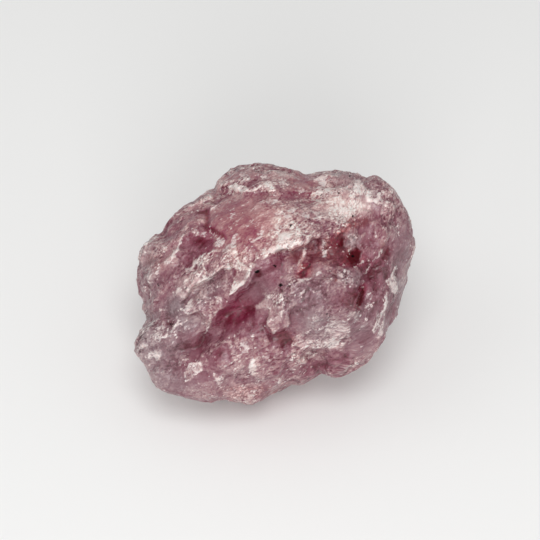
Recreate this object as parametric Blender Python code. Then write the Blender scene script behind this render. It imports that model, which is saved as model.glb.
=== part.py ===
"""A rough chunk of rose quartz: one broken stone, 70 mm wide, lying on a flat fracture.

The stone is shaped from its show side, the side that a collector turns to the front.
Places on that side are given in millimetres right and up of the stone's heart, as seen when
looking down on the stone at SHOW_TILT, with +X to the right. Out is towards the viewer.
"""

import math

import bmesh
import bpy
import numpy as np

MM = 0.001

# Driving dimensions, in millimetres and degrees
SHOW_TILT = 50.0
HEART_HEIGHT = 25.5
FRONT_BULGE = 27.5
BACK_BULGE = 28.0
SQUARENESS = 2.5
TRIANGLES = 8000

# The outline of the show side, clockwise from the notch in its left side: (right, up)
OUTLINE = [
    (-32.0, -9.0), (-33.8, -3.3), (-34.5, 0.3), (-34.0, 5.5), (-32.5, 10.8), (-28.3, 13.3),
    (-25.0, 17.8), (-20.5, 20.8), (-15.3, 23.8), (-14.8, 26.0), (-11.3, 29.2), (-5.0, 30.2),
    (2.3, 29.5), (7.3, 27.5), (14.5, 28.6), (22.8, 26.8), (25.3, 27.0), (27.3, 25.8),
    (31.0, 21.3), (33.8, 15.5), (35.0, 9.5), (33.3, 3.5), (31.5, -3.5), (31.0, -6.5),
    (28.0, -11.5), (24.8, -17.3), (22.5, -19.8), (14.8, -23.8), (11.5, -22.4), (7.0, -25.3),
    (3.8, -25.3), (-1.3, -28.0), (-5.3, -30.3), (-12.5, -29.0), (-15.5, -30.0), (-21.3, -28.5),
    (-29.5, -26.0), (-32.3, -20.5), (-35.3, -16.5), (-34.0, -11.5),
]

# How far out the outline runs, by its angle from the right, anticlockwise
RIM_OUT = [(0, -3), (30, -5), (60, -8), (100, -9), (140, -8), (180, -4), (205, -5), (230, -5),
           (260, -3.5), (290, -1.5), (320, -1), (360, -3)]

# Flat fractures of the show side: (right, up, out, lean right, lean up), a point and a direction
SHOW_FACETS = {
    "broad face": (-7.5, 14.0, 20.5, -8, 24),
    "crown table": (17.5, 20.0, 14.0, 8, 44),
    "middle mass": (11.0, -4.0, 24.0, 14, -8),
    "front wall": (-11.0, -20.0, 14.0, -4, -34),
    "right flank": (27.5, 3.5, 11.5, 50, -4),
    "right foot": (17.0, -15.5, 12.5, 30, -42),
    "left shoulder": (-27.0, 4.0, 10.5, -44, 10),
    "left foot": (-29.0, -17.0, 6.0, -46, -18),
    "grey face": (-18.5, -4.0, 18.5, -24, -10),
    "upper left slope": (-20.5, 16.0, 8.0, -34, 42),
}

# Flat fractures of the hidden side: (compass angle from +X, elevation, distance from the heart)
HIDDEN_FACETS = {
    "back wall": (85, -12, 24.0),
    "back left": (140, -8, 25.5),
    "back right": (35, -5, 26.5),
    "left undercut": (190, -35, 26.9),
    "right undercut": (-15, -40, 25.1),
    "back undercut": (110, -45, 24.3),
    "bed": (0, -90, HEART_HEIGHT),
}

# Steps in the show side: drop, width of the shelf below, and the line of the lip.
# The ground falls away on the left hand of someone who walks along the lip.
LEDGES = {
    "pale shelf": (2.8, 5.0, [(-9.0, 9.5), (-11.0, 4.2), (-15.5, 2.0), (-20.0, -0.8), (-24.5, -5.0)]),
    "grey step": (2.2, 4.5, [(-9.5, -3.0), (-13.5, -6.8), (-17.2, -11.5), (-18.3, -7.2), (-24.0, -6.4)]),
    "shard": (3.0, 4.5, [(1.0, 6.0), (-4.5, 2.0), (-7.5, -1.5), (-11.5, -5.0)]),
    "broad face lip": (3.0, 5.5, [(12.5, 13.0), (8.5, 11.0), (6.3, 10.2), (2.5, 8.4), (-1.0, 7.6)]),
    "tongue": (2.0, 4.0, [(4.5, -4.0), (3.0, -8.5), (-0.5, -12.0), (-3.0, -7.0)]),
    "crown shelf": (1.2, 3.6, [(2.0, 23.6), (-5.0, 22.8), (-11.0, 23.6), (-15.5, 24.4)]),
    "front sheet": (1.6, 4.5, [(14.0, -14.0), (9.2, -18.0), (5.0, -18.6), (2.6, -21.0), (0.0, -25.0)]),
    "left foot shelf": (1.4, 4.0, [(-19.0, -14.0), (-24.5, -16.5), (-30.0, -21.0)]),
    "right rib": (1.2, 4.5, [(30.5, 6.0), (28.5, -1.0), (27.0, -5.0), (24.0, -13.0)]),
}

# Furrows: depth, half width, and the line of the bottom
FURROWS = {
    "rose groove": (4.4, 4.2, [(-26.0, -16.0), (-19.0, -13.5), (-11.5, -9.0), (-5.0, -5.5), (-1.0, 1.0)]),
    "left cleft": (3.0, 2.6, [(-36.0, -9.5), (-30.0, -9.0), (-24.0, -9.5)]),
    "left recess": (2.4, 3.4, [(-24.0, 2.5), (-19.5, 9.0), (-13.0, 11.5)]),
    "burgundy crack": (1.8, 1.1, [(-19.5, 18.0), (-16.5, 17.0), (-16.5, 13.5), (-12.5, 11.5)]),
    "flank crack": (1.8, 1.2, [(23.0, 4.0), (21.5, -1.5), (21.0, -6.0)]),
    "foot notch": (2.6, 2.6, [(11.5, -24.5), (10.5, -21.0), (7.5, -17.0)]),
}

# Hollows (negative) and swells: height, right, up, half length, half width, turn in degrees
SWELLS = {
    "red hollow": (-5.0, 19.0, 8.5, 6.5, 5.0, 20),
    "mauve recess": (-2.6, 10.5, 6.5, 6.0, 3.6, 30),
    "crown swale": (-1.6, 8.5, 24.0, 6.0, 4.0, 60),
    "tongue hollow": (-2.0, 1.5, -13.5, 5.0, 3.0, 20),
    "right bulge": (1.8, 16.0, -19.5, 5.5, 3.6, 20),
    "middle swell": (1.6, 13.0, -5.0, 8.0, 6.0, 40),
    "left foot swell": (1.6, -28.0, -12.5, 5.0, 3.6, 15),
    "front swell": (1.6, -10.0, -19.0, 11.0, 5.5, 25),
    "crown knob": (1.2, -6.5, 26.0, 6.0, 2.6, 5),
}

# Rounding of the edges where two facets meet, as a power mean: more is sharper
EDGE_SHARPNESS = 26.0

# Broken patches all over: (size of a patch, height of the steps, seed), and how they are drawn out
CHIPS = [(15.0, 1.1, 11), (7.5, 0.90, 23), (3.8, 0.60, 37)]
GRAIN_TURN = 38.0
GRAIN_STRETCH = 1.6

# The broad face is smoother than the rest: right, up, half length, half width, turn, share kept
SMOOTH_FACE = (-6.0, 13.5, 13.0, 7.0, 12, 0.25)


def smooth_step(low, high, value):
    share = np.clip((value - low) / (high - low), 0.0, 1.0)
    return share * share * (3.0 - 2.0 * share)


def show_axes():
    """The directions right, up and out of the show side, as rows, in the stone's frame."""
    tilt = math.radians(SHOW_TILT)
    return np.array([
        [1.0, 0.0, 0.0],
        [0.0, math.sin(tilt), math.cos(tilt)],
        [0.0, -math.cos(tilt), math.sin(tilt)],
    ])


def ball_directions():
    """A fine icosphere's points as unit directions, and its bmesh."""
    bm = bmesh.new()
    bmesh.ops.create_icosphere(bm, subdivisions=7, radius=1.0)
    directions = np.array([vertex.co for vertex in bm.verts])
    return bm, directions / np.linalg.norm(directions, axis=1)[:, None]


def outline_reach(angle):
    """The outline's distance from the heart at each angle, and the same without its corners."""
    points = np.array(OUTLINE)
    corner_angle = np.arctan2(points[:, 1], points[:, 0])
    order = np.argsort(corner_angle)
    corner_reach = np.hypot(points[:, 0], points[:, 1])[order]
    sharp = np.interp(angle, corner_angle[order], corner_reach, period=2.0 * math.pi)
    even = np.linspace(-math.pi, math.pi, 180, endpoint=False)
    spread = np.interp(even, corner_angle[order], corner_reach, period=2.0 * math.pi)
    soft = np.full_like(angle, spread.mean())
    for turns in range(1, 4):
        soft += 2.0 * (spread * np.cos(turns * even)).mean() * np.cos(turns * angle)
        soft += 2.0 * (spread * np.sin(turns * even)).mean() * np.sin(turns * angle)
    return sharp, soft


def rim_slope(angle, reach):
    """How far out the rim lies for each millimetre of its reach."""
    table = np.array(RIM_OUT, float)
    out = np.interp(np.degrees(angle) % 360.0, table[:, 0], table[:, 1])
    return out / reach


def facet_reach(directions, normal, distance):
    """How far each direction runs before it meets a facet; directions that never do get a long way."""
    facing = directions @ normal
    return np.where(facing > 0.05, distance / np.maximum(facing, 0.05), 1.0e3)


def rough_form(directions):
    """The stone's bulk in show coordinates, and how far each point is from the rim (+ front, - back)."""
    seen = directions @ show_axes().T
    angle = np.arctan2(seen[:, 1], seen[:, 0])
    side = np.hypot(seen[:, 0], seen[:, 1])
    sharp, soft = outline_reach(angle)
    rim = seen[:, 2] - rim_slope(angle, soft) * side
    reach = soft + (sharp - soft) * smooth_step(0.86, 1.0, side) * smooth_step(-0.5, 0.0, rim)
    bulge = np.where(rim > 0.0, FRONT_BULGE, BACK_BULGE)
    pillow = (side / reach) ** SQUARENESS + (np.abs(rim) / bulge) ** SQUARENESS
    reaches = [pillow ** (-1.0 / SQUARENESS)]
    for right, up, out, lean_right, lean_up in SHOW_FACETS.values():
        turn, rise = math.radians(lean_right), math.radians(lean_up)
        normal = np.array([
            math.sin(turn) * math.cos(rise),
            math.sin(rise),
            math.cos(turn) * math.cos(rise),
        ])
        reaches.append(facet_reach(seen, normal, normal @ (right, up, out)))
    for compass, elevation, distance in HIDDEN_FACETS.values():
        turn, rise = math.radians(compass), math.radians(elevation)
        normal = np.array([
            math.cos(turn) * math.cos(rise),
            math.sin(turn) * math.cos(rise),
            math.sin(rise),
        ])
        reaches.append(facet_reach(directions, normal, distance))
    power = sum((1.0 / reach_to) ** EDGE_SHARPNESS for reach_to in reaches)
    return seen * (power ** (-1.0 / EDGE_SHARPNESS))[:, None], rim


def along_line(points, line):
    """Each point's distance to a line, on which side of it the point is, and how far along it."""
    line = np.array(line, float)
    nearest = np.full(len(points), 1.0e9)
    side = np.zeros(len(points))
    share = np.zeros(len(points))
    lengths = np.linalg.norm(np.diff(line, axis=0), axis=1)
    passed = 0.0
    for start, end, length in zip(line[:-1], line[1:], lengths):
        run = (end - start) / length
        offset = points - start
        forward = np.clip(offset @ run, 0.0, length)
        across = offset - forward[:, None] * run
        distance = np.linalg.norm(across, axis=1)
        closer = distance < nearest
        left_hand = offset[:, 1] * run[0] - offset[:, 0] * run[1]
        nearest = np.where(closer, distance, nearest)
        side = np.where(closer, np.sign(left_hand), side)
        share = np.where(closer, (passed + forward) / lengths.sum(), share)
        passed += length
    return nearest, side, share


def ragged(flat):
    """Shifts the points a little, so that a line drawn between a few points breaks unevenly."""
    right, up = flat[:, 0], flat[:, 1]
    shift_right = 0.55 * np.sin(0.9 * up + 0.35 * right) + 0.20 * np.sin(2.1 * up - 0.8 * right + 1.0)
    shift_up = 0.60 * np.sin(0.8 * right + 0.25 * up + 2.0) + 0.22 * np.sin(1.9 * right - 0.6 * up)
    return flat + np.stack([shift_right, shift_up], axis=-1)


def carve(seen, rim):
    """Cuts the ledges, furrows and swells of the show side, along the line of sight."""
    flat = ragged(seen[:, :2])
    relief = np.zeros(len(seen))
    for drop, shelf, lip in LEDGES.values():
        distance, side, share = along_line(flat, lip)
        ends = smooth_step(0.0, 0.15, share) * smooth_step(1.0, 0.85, share)
        below = smooth_step(0.0, 0.5, distance) * np.exp(-((distance / shelf) ** 2))
        lip_rise = 0.25 * np.exp(-((distance / (0.6 * shelf)) ** 2))
        relief += drop * ends * np.where(side > 0.0, -below, lip_rise)
    for depth, half_width, bottom in FURROWS.values():
        distance, _, share = along_line(flat, bottom)
        ends = smooth_step(0.0, 0.2, share) * smooth_step(1.0, 0.8, share)
        relief -= depth * (0.35 + 0.65 * ends) * np.exp(-((distance / half_width) ** 2))
    for height, *place in SWELLS.values():
        relief += height * oval(flat, *place)
    carved = seen.copy()
    carved[:, 2] += relief * smooth_step(0.02, 0.30, rim)
    return carved


def lattice_noise(cells, seed):
    """Three numbers from -1 to 1 for each whole-numbered cell, the same on every run."""
    mixed = cells.astype(np.int64) @ np.array([73856093, 19349663, 83492791]) + seed * 2654435
    numbers = []
    for salt in (374761393, 668265263, 974711):
        value = (mixed ^ (mixed >> 13)) * salt + seed
        value = (value ^ (value >> 15)) & 0xFFFFFF
        numbers.append(value / float(0x7FFFFF) - 1.0)
    return np.stack(numbers, axis=-1)


def broken_patches(points, seed):
    """A height from -1 to 1 for each point: flat, tilted patches with steep steps between them."""
    home = np.floor(points).astype(np.int64)
    nearest = np.full(len(points), 1.0e9)
    second = nearest.copy()
    height = np.zeros(len(points))
    beside = np.zeros(len(points))
    for x in (-1, 0, 1):
        for y in (-1, 0, 1):
            for z in (-1, 0, 1):
                cell = home + (x, y, z)
                centre = cell + 0.5 + 0.42 * lattice_noise(cell, seed)
                tilt = lattice_noise(cell, seed + 101)
                level = lattice_noise(cell, seed + 202)[:, 0]
                offset = points - centre
                distance = np.linalg.norm(offset, axis=1)
                plane = 0.8 * (offset * tilt).sum(axis=1) + 0.55 * level
                closer, next_closer = distance < nearest, distance < second
                beside = np.where(closer, height, np.where(next_closer, plane, beside))
                second = np.where(closer, nearest, np.where(next_closer, distance, second))
                height = np.where(closer, plane, height)
                nearest = np.where(closer, distance, nearest)
    shared = 0.5 * (1.0 - smooth_step(0.0, 0.10, second - nearest))
    return height + (beside - height) * shared


def grain_points(seen):
    """The points turned to the stone's grain, which runs up to the right, and squeezed along it."""
    cos, sin = math.cos(math.radians(GRAIN_TURN)), math.sin(math.radians(GRAIN_TURN))
    along = (seen[:, 0] * cos + seen[:, 1] * sin) / GRAIN_STRETCH
    across = seen[:, 1] * cos - seen[:, 0] * sin
    return np.stack([along, across, seen[:, 2]], axis=-1)


def point_normals(bm, points):
    for vertex, place in zip(bm.verts, points):
        vertex.co = place
    bm.normal_update()
    return np.array([vertex.normal for vertex in bm.verts])


def oval(flat, right, up, half_length, half_width, turn):
    """1 in the middle of an oval on the show side, falling softly to 0 around it."""
    cos, sin = math.cos(math.radians(turn)), math.sin(math.radians(turn))
    along = (flat[:, 0] - right) * cos + (flat[:, 1] - up) * sin
    across = (flat[:, 1] - up) * cos - (flat[:, 0] - right) * sin
    return np.exp(-((along / half_length) ** 2 + (across / half_width) ** 2))


def chip(bm, seen, rim):
    """Breaks the surface into patches, coarse ones first, and leaves the bed flat."""
    right, up, half_length, half_width, turn, kept = SMOOTH_FACE
    smooth = oval(seen[:, :2], right, up, half_length, half_width, turn) * (rim > 0.0)
    above_bed = (seen @ show_axes())[:, 2] + HEART_HEIGHT
    away = (1.0 - (1.0 - kept) * smooth) * smooth_step(0.5, 3.5, above_bed)
    for size, height, seed in CHIPS:
        normals = point_normals(bm, seen)
        step = height * broken_patches(grain_points(seen) / size + 40.0, seed)
        seen = seen + normals * (step * away)[:, None]
    return seen


def fit_outline(seen, rim):
    """Draws the sides out or in until the stone fills its outline, and leaves the middle alone."""
    angle = np.arctan2(seen[:, 1], seen[:, 0])
    side = np.hypot(seen[:, 0], seen[:, 1])
    sectors = 180
    sector = np.floor((angle + math.pi) / (2.0 * math.pi) * sectors).astype(int) % sectors
    widest = np.zeros(sectors)
    np.maximum.at(widest, sector, side)
    middle = (np.arange(sectors) + 0.5) / sectors * 2.0 * math.pi - math.pi
    wanted, _ = outline_reach(middle)
    stretch = wanted / widest - 1.0
    spread = np.exp(-(np.arange(-24, 25) / 9.0) ** 2)
    broad = np.convolve(np.pad(stretch, 24, mode="wrap"), spread / spread.sum(), mode="valid")
    share = side / np.interp(angle, middle, widest, period=2.0 * math.pi)
    pull_broad = np.interp(angle, middle, broad, period=2.0 * math.pi) * smooth_step(0.2, 0.95, share)
    corners = np.interp(angle, middle, stretch - broad, period=2.0 * math.pi)
    near_rim = smooth_step(0.84, 1.0, share) * smooth_step(-0.5, 0.0, rim)
    fitted = seen.copy()
    fitted[:, :2] *= (1.0 + pull_broad + corners * near_rim)[:, None]
    return fitted


def stone_mesh():
    bm, directions = ball_directions()
    seen, rim = rough_form(directions)
    seen = fit_outline(seen, rim)
    seen = carve(seen, rim)
    seen = chip(bm, seen, rim)
    seen = fit_outline(seen, rim)
    places = seen @ show_axes() + (0.0, 0.0, HEART_HEIGHT)
    for vertex, place in zip(bm.verts, places * MM):
        vertex.co = place
    mesh = bpy.data.meshes.new("rose_quartz_chunk")
    bm.to_mesh(mesh)
    bm.free()
    return mesh


def thinned(mesh):
    """The same surface with its triangles spent where it bends."""
    rough = bpy.data.objects.new("rough", mesh)
    bpy.context.collection.objects.link(rough)
    decimate = rough.modifiers.new("thin", "DECIMATE")
    decimate.ratio = TRIANGLES / len(mesh.polygons)
    decimate.use_collapse_triangulate = True
    graph = bpy.context.evaluated_depsgraph_get()
    result = bpy.data.meshes.new_from_object(rough.evaluated_get(graph))
    bpy.data.objects.remove(rough)
    return result


def bedded(mesh):
    """Cuts the bed flat at the ground and moves the stone over the origin."""
    bm = bmesh.new()
    bm.from_mesh(mesh)
    everything = bm.verts[:] + bm.edges[:] + bm.faces[:]
    bmesh.ops.bisect_plane(
        bm, geom=everything, dist=1.0e-7, plane_co=(0, 0, 0.0006), plane_no=(0, 0, 1), clear_inner=True
    )
    rim_edges = [edge for edge in bm.edges if edge.is_boundary]
    bmesh.ops.contextual_create(bm, geom=rim_edges)
    places = np.array([vertex.co for vertex in bm.verts])
    middle = (places.min(axis=0) + places.max(axis=0)) / 2.0
    shift = (-middle[0], -middle[1], -places[:, 2].min())
    bmesh.ops.translate(bm, vec=shift, verts=bm.verts[:])
    bmesh.ops.triangulate(bm, faces=bm.faces[:])
    bmesh.ops.recalc_face_normals(bm, faces=bm.faces[:])
    bm.to_mesh(mesh)
    bm.free()
    print("moved over the origin by", [round(step / MM, 3) for step in shift], "mm")
    return mesh


def rose_quartz():
    material = bpy.data.materials.new("rose_quartz")
    material.use_nodes = True
    shader = material.node_tree.nodes["Principled BSDF"]
    shader.inputs["Base Color"].default_value = (0.38, 0.20, 0.22, 1.0)
    shader.inputs["Roughness"].default_value = 0.45
    shader.inputs["Metallic"].default_value = 0.0
    return material


def main():
    for old in list(bpy.data.objects):
        bpy.data.objects.remove(old)
    mesh = bedded(thinned(stone_mesh()))
    mesh.materials.clear()
    mesh.materials.append(rose_quartz())
    stone = bpy.data.objects.new("rose_quartz_chunk", mesh)
    group = bpy.data.collections.new("rose quartz chunk")
    bpy.context.scene.collection.children.link(group)
    group.objects.link(stone)


main()
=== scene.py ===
import math

import bmesh
import bpy
import numpy as np
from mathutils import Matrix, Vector


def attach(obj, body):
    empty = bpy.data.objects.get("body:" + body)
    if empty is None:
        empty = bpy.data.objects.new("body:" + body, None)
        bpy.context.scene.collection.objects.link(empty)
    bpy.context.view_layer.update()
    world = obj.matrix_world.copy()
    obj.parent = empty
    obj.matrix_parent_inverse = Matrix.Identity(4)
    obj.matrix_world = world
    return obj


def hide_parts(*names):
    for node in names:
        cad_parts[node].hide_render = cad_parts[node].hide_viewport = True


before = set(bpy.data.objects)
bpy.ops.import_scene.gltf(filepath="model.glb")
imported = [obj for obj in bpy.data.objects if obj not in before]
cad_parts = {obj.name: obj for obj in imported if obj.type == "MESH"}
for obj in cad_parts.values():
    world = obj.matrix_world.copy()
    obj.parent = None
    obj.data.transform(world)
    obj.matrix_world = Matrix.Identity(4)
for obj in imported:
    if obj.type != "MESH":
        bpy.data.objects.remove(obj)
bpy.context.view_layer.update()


# The show side: a rough stone has one side that a collector turns to the eye, tipped up from the
# table. Right, up and out are the directions of that side, out towards the eye, and places on it
# are given below by their pixel in a picture 540 across, in which the stone fills the middle.
SHOW_TILT = math.radians(50.0)
HEART = Vector((0.00014, 0.00019, 0.0249))
EYE_DISTANCE = 0.8
PICTURE = 540
PICTURE_WIDTH = 0.135
AIM_RIGHT, AIM_UP = -0.00125, 0.0035
SENSOR = 36.0
FAR_END = 10.0

right = Vector((1.0, 0.0, 0.0))
up = Vector((0.0, math.sin(SHOW_TILT), math.cos(SHOW_TILT)))
out = Vector((0.0, -math.cos(SHOW_TILT), math.sin(SHOW_TILT)))
aim = HEART + right * AIM_RIGHT + up * AIM_UP
eye = aim + out * EYE_DISTANCE

camera = bpy.data.objects.new("camera", bpy.data.cameras.new("camera"))
bpy.context.collection.objects.link(camera)
camera.location = eye
camera.rotation_euler = out.to_track_quat("Z", "Y").to_euler()
camera.data.sensor_width = SENSOR
camera.data.lens = SENSOR * EYE_DISTANCE / PICTURE_WIDTH
camera.data.clip_end = FAR_END
bpy.context.scene.camera = camera


# The ground: a matt, almost white sheet, far larger than the stone, so that nothing but paper and
# the stone's soft shadow shows around it.
GROUND_SIZE = 6.0
GROUND_COLOUR = "#EDEDEC"
GROUND_ROUGHNESS = 0.9
GROUND_SHINE = 0.2


def linear(colour):
    """An sRGB hex colour as the linear values that Blender works in."""
    channels = [int(colour[place:place + 2], 16) / 255.0 for place in (1, 3, 5)]
    return [c / 12.92 if c <= 0.04045 else ((c + 0.055) / 1.055) ** 2.4 for c in channels] + [1.0]


def add(tree, kind, sockets=None, **settings):
    """Adds a node with its settings; a socket is given a value, or another node's output to read."""
    made = tree.nodes.new(kind)
    for name, value in settings.items():
        setattr(made, name, value)
    for socket, value in (sockets or {}).items():
        if isinstance(value, bpy.types.NodeSocket):
            tree.links.new(value, made.inputs[socket])
        else:
            made.inputs[socket].default_value = value
    return made


paper = bpy.data.materials.new("matt_white_paper")
paper.use_nodes = True
paper_shader = paper.node_tree.nodes["Principled BSDF"]
paper_shader.inputs["Base Color"].default_value = linear(GROUND_COLOUR)
paper_shader.inputs["Roughness"].default_value = GROUND_ROUGHNESS
paper_shader.inputs["Specular IOR Level"].default_value = GROUND_SHINE

ground_mesh = bpy.data.meshes.new("ground")
half = GROUND_SIZE / 2.0
ground_mesh.from_pydata(
    [(-half, -half, 0), (half, -half, 0), (half, half, 0), (-half, half, 0)], [], [(0, 1, 2, 3)])
ground_mesh.materials.append(paper)
ground = bpy.data.objects.new("ground", ground_mesh)
bpy.context.collection.objects.link(ground)


# The light: one soft lamp high over the front of the stone, one low in front and a weak one on the
# left, with pale light from all round that fills the shadows.
LAMP_SIZE = 0.45
LAMPS = {
    "high_lamp": ((0.0, -0.274, 0.772), 2.4),
    "front_lamp": ((0.0, -0.725, 0.358), 2.4),
    "left_lamp": ((-0.535, 0.0, 0.615), 0.4),
}
ROOM_LIGHT = 0.515
ROOM_COLOUR = "#FFFFFF"

for name, (place, power) in LAMPS.items():
    lamp = bpy.data.objects.new(name, bpy.data.lights.new(name, "AREA"))
    lamp.data.shape = "DISK"
    lamp.data.size = LAMP_SIZE
    lamp.data.energy = power
    lamp.location = place
    lamp.rotation_euler = (Vector(place) - HEART).to_track_quat("Z", "Y").to_euler()
    bpy.context.collection.objects.link(lamp)

room = bpy.data.worlds.new("room")
bpy.context.scene.world = room
room.use_nodes = True
room.node_tree.nodes["Background"].inputs["Color"].default_value = linear(ROOM_COLOUR)
room.node_tree.nodes["Background"].inputs["Strength"].default_value = ROOM_LIGHT
bpy.context.scene.view_settings.view_transform = "Standard"


# The stone: rose quartz, a massive quartz with a sugary, cracked grain. It was broken from a bigger
# lump, and every side is a fracture: stepped, hackly patches a few millimetres wide, drawn out along
# the grain, with crushed white edges and deep rose where the light goes in.
MM = 1000.0
VOXEL = 0.00042
FOOT = 0.0012
GRAIN_TURN = math.radians(38.0)
GRAIN_STRETCH = 1.5
FLANK_TURN = math.radians(24.0)
FLANK_START, FLANK_END = 14.0, 25.0
FLANK_PIVOT = (22.0, 2.0, 0.0)
# Broken patches: (width in mm, height of their steps in mm, share of the shade, seed)
PATCHES = [(3.1, 0.34, 0.6, 5), (1.6, 0.10, 0.4, 17)]
# In widths of a patch: how far its middle strays, its tilt, its level and the width of a step
STRAY, TILT, LEVEL, STEP_WIDTH = 0.42, 0.8, 0.55, 0.06
WAVES, WAVE_NUMBER = 8, 2.6


def smooth_step(low, high, value):
    """0 up to the low value and 1 from the high one on, with a soft change between them."""
    share = np.clip((value - low) / (high - low), 0.0, 1.0)
    return share * share * (3.0 - 2.0 * share)


def cell_numbers(cells, seed):
    """Three numbers from -1 to 1 for each whole-numbered cell, the same on every run."""
    mixed = cells.astype(np.int64) @ np.array([73856093, 19349663, 83492791]) + seed * 2654435
    numbers = []
    for salt in (374761393, 668265263, 974711):
        value = (mixed ^ (mixed >> 13)) * salt + seed
        value = (value ^ (value >> 15)) & 0xFFFFFF
        numbers.append(value / float(0x7FFFFF) - 1.0)
    return np.stack(numbers, axis=-1)


def broken_patches(points, seed):
    """Flat, tilted patches with steep steps between them.

    For each point the height, a shade of its patch and the way from the patch's middle to it.
    """
    home = np.floor(points).astype(np.int64)
    nearest = np.full(len(points), 1.0e9)
    second = nearest.copy()
    height = np.zeros(len(points))
    beside = np.zeros(len(points))
    shade = np.zeros(len(points))
    way = np.zeros(points.shape)
    for x in (-1, 0, 1):
        for y in (-1, 0, 1):
            for z in (-1, 0, 1):
                cell = home + (x, y, z)
                offset = points - (cell + 0.5 + STRAY * cell_numbers(cell, seed))
                distance = np.linalg.norm(offset, axis=1)
                level = cell_numbers(cell, seed + 202)
                plane = TILT * (offset * cell_numbers(cell, seed + 101)).sum(axis=1) + LEVEL * level[:, 0]
                closer, next_closer = distance < nearest, distance < second
                beside = np.where(closer, height, np.where(next_closer, plane, beside))
                second = np.where(closer, nearest, np.where(next_closer, distance, second))
                height = np.where(closer, plane, height)
                shade = np.where(closer, level[:, 1], shade)
                way = np.where(closer[:, None], offset, way)
                nearest = np.where(closer, distance, nearest)
    shared = 0.5 * (1.0 - smooth_step(0.0, STEP_WIDTH, second - nearest))
    return height + (beside - height) * shared, shade, way


def rolling(points, seed):
    """Soft noise from -1 to 1, a sum of slanted waves a cell or so long."""
    total = np.zeros(len(points))
    for turn in cell_numbers(np.arange(3 * WAVES).reshape(WAVES, 3), seed):
        wave = turn * WAVE_NUMBER
        bend = 2.0 * np.sin(points @ wave[::-1] * 0.6 + 3.0 * turn[2])
        total += np.sin(points @ wave + 6.0 * turn[0] + bend)
    return total / (WAVES / 2.0)


class Surface:
    """A mesh as arrays, with the steps that shape it."""

    def __init__(self, mesh):
        self.mesh = mesh
        self.points = np.empty(len(mesh.vertices) * 3)
        mesh.vertices.foreach_get("co", self.points)
        self.points = self.points.reshape(-1, 3)
        edges = np.empty(len(mesh.edges) * 2, dtype=np.int32)
        mesh.edges.foreach_get("vertices", edges)
        self.ends = edges.reshape(-1, 2)
        self.degree = np.bincount(self.ends.ravel(), minlength=len(self.points))

    def normals(self):
        """The directions in which the surface faces, once the points are back in the mesh."""
        self.mesh.vertices.foreach_set("co", self.points.ravel())
        self.mesh.update()
        normals = np.empty(len(self.points) * 3)
        self.mesh.vertices.foreach_get("normal", normals)
        return normals.reshape(-1, 3)

    def blurred(self, values, rounds):
        """Values averaged with their neighbours' a number of times."""
        values = np.array(values, float).reshape(len(self.points), -1)
        first, second = self.ends.T
        for _ in range(rounds):
            total = values.copy()
            for column in range(values.shape[1]):
                total[:, column] += np.bincount(first, values[second, column], len(values))
                total[:, column] += np.bincount(second, values[first, column], len(values))
            values = total / (self.degree + 1)[:, None]
        return values

    def relief(self, rounds):
        """How far each point stands out of the blurred surface: ridges above 0, cracks below."""
        rise = self.points - self.blurred(self.points, rounds)
        return (rise * self.normals()).sum(axis=1)

    def attribute(self, name, values):
        """Keeps a value, or three, for each point under a name that the material reads."""
        layer = self.mesh.attributes.new(name, "FLOAT_VECTOR" if values.ndim == 2 else "FLOAT", "POINT")
        layer.data.foreach_set("vector" if values.ndim == 2 else "value", values.ravel())


def picture_places(points):
    """The pixel at which each point shows in the picture."""
    offset = points - np.array(eye)
    depth = -(offset @ np.array(out))
    scale = PICTURE / PICTURE_WIDTH * EYE_DISTANCE / depth
    across = PICTURE / 2.0 + offset @ np.array(right) * scale
    down = PICTURE / 2.0 - offset @ np.array(up) * scale
    return np.stack([across, down], axis=-1)


def oval(places, x, y, half_length, half_width, turn):
    """1 in the middle of an oval in the picture, falling softly to 0. Turn is anticlockwise."""
    cos, sin = math.cos(math.radians(turn)), math.sin(math.radians(turn))
    along = (places[:, 0] - x) * cos - (places[:, 1] - y) * sin
    across = (places[:, 1] - y) * cos + (places[:, 0] - x) * sin
    return np.exp(-((along / half_length) ** 2 + (across / half_width) ** 2) ** 1.5)


def waves(points, width, seeds):
    """Soft noise of a width in mm, one number for each seed."""
    return np.stack([rolling(points / width, seed) for seed in seeds], axis=-1)


def line_distance(places, line):
    """How far each place is from a line through corners in the picture, in pixels."""
    nearest = np.full(len(places), 1.0e9)
    for start, end in zip(line[:-1], line[1:]):
        run = np.subtract(end, start, dtype=float)
        length = np.linalg.norm(run)
        offset = places - start
        forward = np.clip(offset @ (run / length), 0.0, length)
        nearest = np.minimum(nearest, np.linalg.norm(offset - forward[:, None] * (run / length), axis=1))
    return nearest


def stroke(places, half_width, *line):
    """1 along a line in the picture, falling softly to 0 beside it."""
    return np.exp(-(line_distance(places, line) / half_width) ** 3)


def painted(places, ovals=(), lines=()):
    """The sum of soft shapes in the picture.

    An oval is (amount, x, y, half length, half width, turn) and a line (amount, half width, corners).
    """
    total = np.zeros(len(places))
    for amount, *shape in ovals:
        total += amount * oval(places, *shape)
    for amount, half_width, *corners in lines:
        total += amount * stroke(places, half_width, *corners)
    return total


def inside(places, corners):
    """How far inside a shape in the picture each place is, in pixels; outside it is below 0."""
    across, down = places.T
    within = np.zeros(len(places), bool)
    for (x0, y0), (x1, y1) in zip(corners, corners[1:] + corners[:1]):
        if y0 != y1:
            crossing = x0 + (down - y0) / (y1 - y0) * (x1 - x0)
            within ^= ((y0 > down) != (y1 > down)) & (across < crossing)
    return line_distance(places, corners + corners[:1]) * np.where(within, 1.0, -1.0)


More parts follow.
